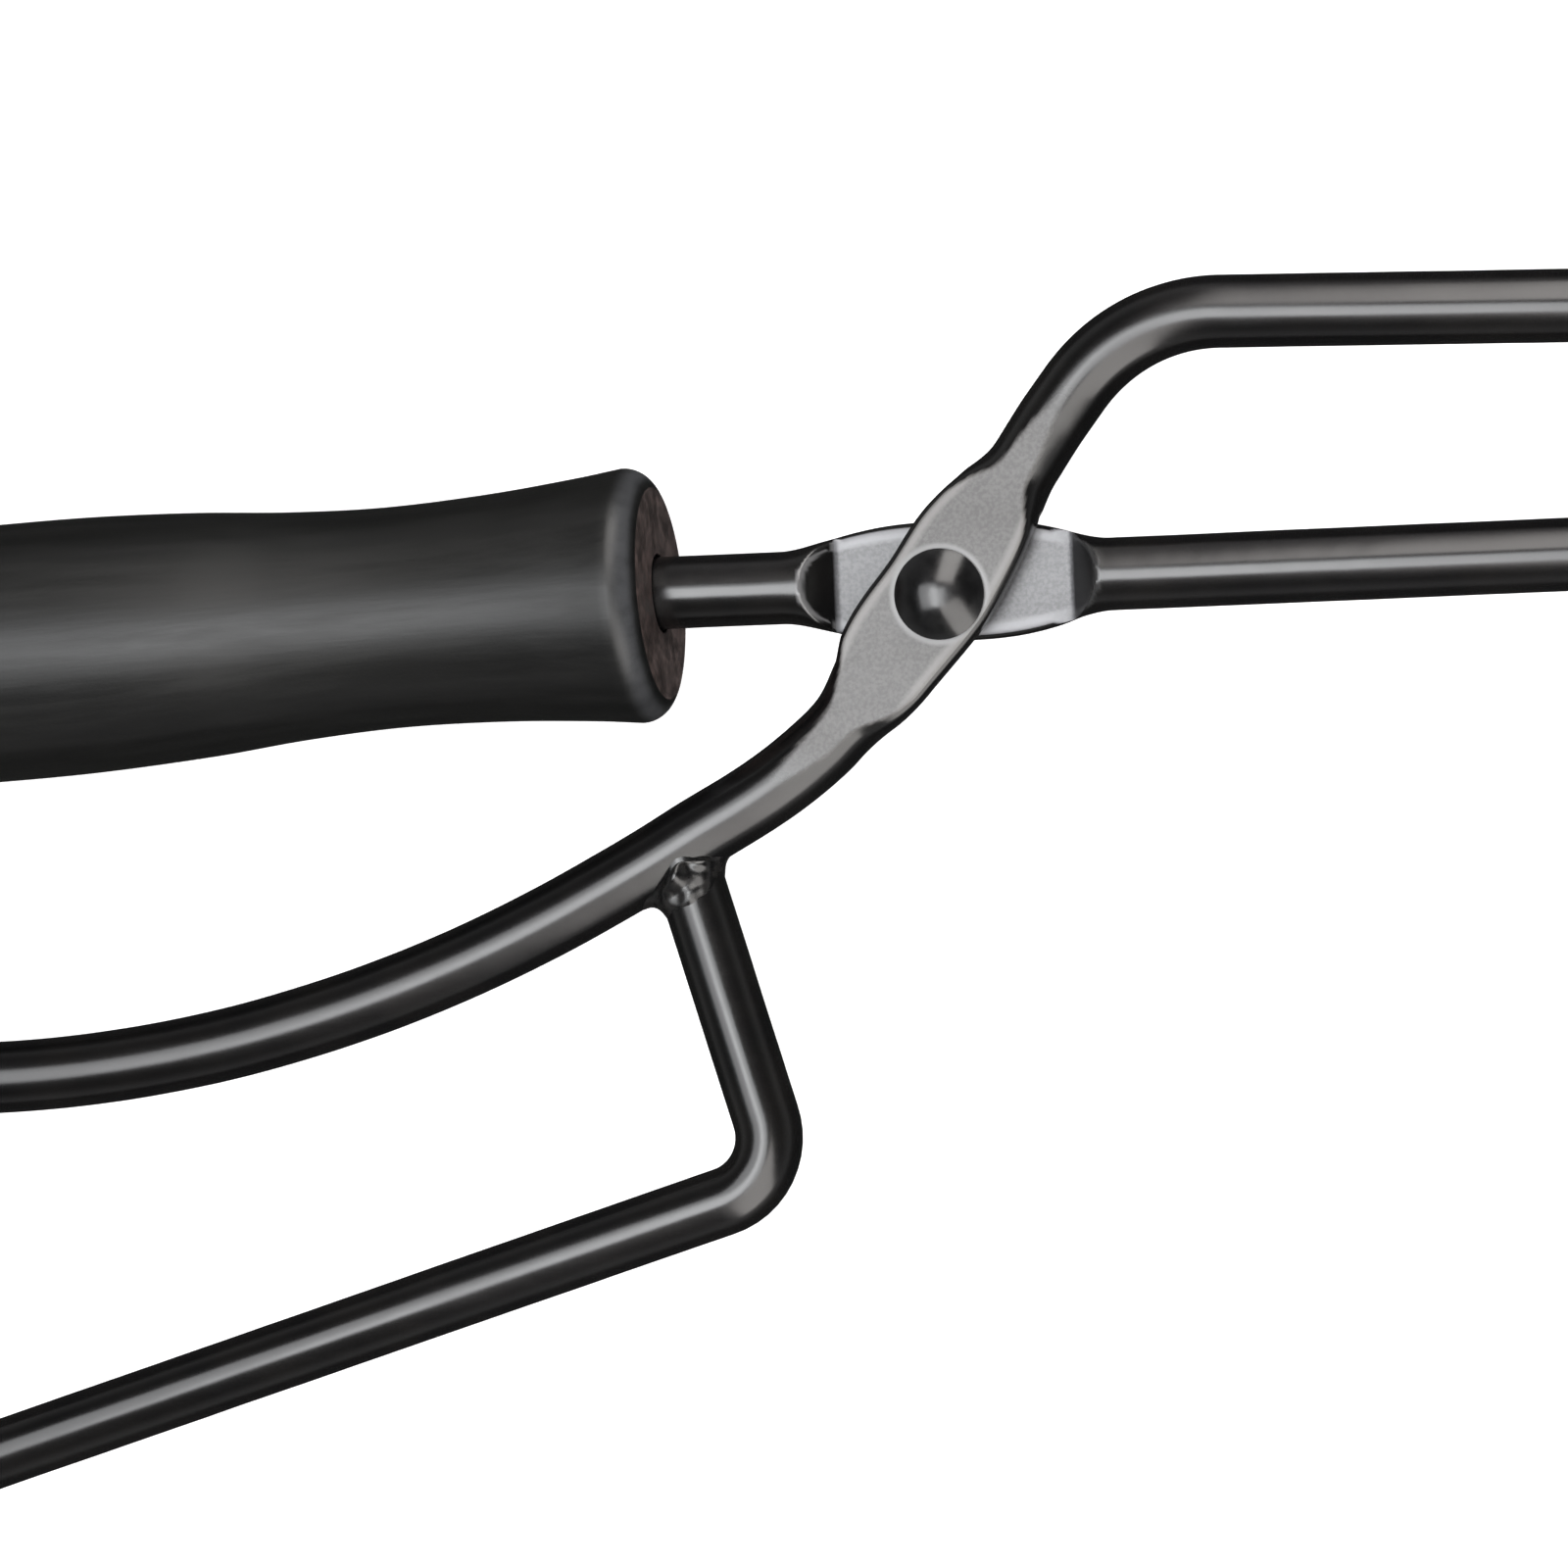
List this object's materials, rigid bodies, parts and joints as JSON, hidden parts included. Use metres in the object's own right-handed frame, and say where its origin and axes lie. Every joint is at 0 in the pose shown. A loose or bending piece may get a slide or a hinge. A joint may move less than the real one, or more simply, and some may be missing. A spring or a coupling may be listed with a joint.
{
  "type": "fire tongs",
  "caption": "Scissor-action forged rod tongs with a riveted half-lap pivot, a turned wooden grip, a curved lever with a finger bow, and flat toothed jaws.",
  "frame": {"origin": "under the middle of the tongs' bounding box, at the height of the grip's lowest point with the tongs lying on their side", "axes": "+X along the straight arm from the grip to the jaws, +Z along the pivot rivet from its peened tail to its domed head, +Y from the straight arm towards the upper jaw arm"},
  "size_m": [0.4293, 0.1309, 0.0287],
  "materials": {
    "arm_coating": "semi-gloss black heat-resistant coating on forged steel rod, rubbed grey on the pivot flats",
    "bow_coating": "semi-gloss black heat-resistant coating on bent steel rod",
    "weld_metal": "lumpy weld bead under the same black coating",
    "rivet_coating": "glossy black domed rivet",
    "washer_steel": "plain washer, dull zinc",
    "grip_wood": "turned hardwood stained black, satin, brownish end grain at the front face",
    "nut_steel": "hexagon nut, dull zinc"
  },
  "bodies": {
    "straight_arm_body": {"straight_arm": "arm_coating", "pivot_rivet": "rivet_coating", "rivet_washer": "washer_steel", "grip": "grip_wood", "butt_washer": "washer_steel", "tang_nut": "nut_steel"},
    "lever_body": {"lever_arm": "arm_coating", "finger_bow": "bow_coating", "front_weld": "weld_metal", "rear_weld": "weld_metal"}
  },
  "joints": [
    {"name": "pivot", "type": "hinge", "parent": "straight_arm_body", "child": "lever_body", "pos_m": [-0.0624, 0.0319, 0.01435], "axis": [0, 0, 1], "range_deg": [-3.2, 70]}
  ]
}
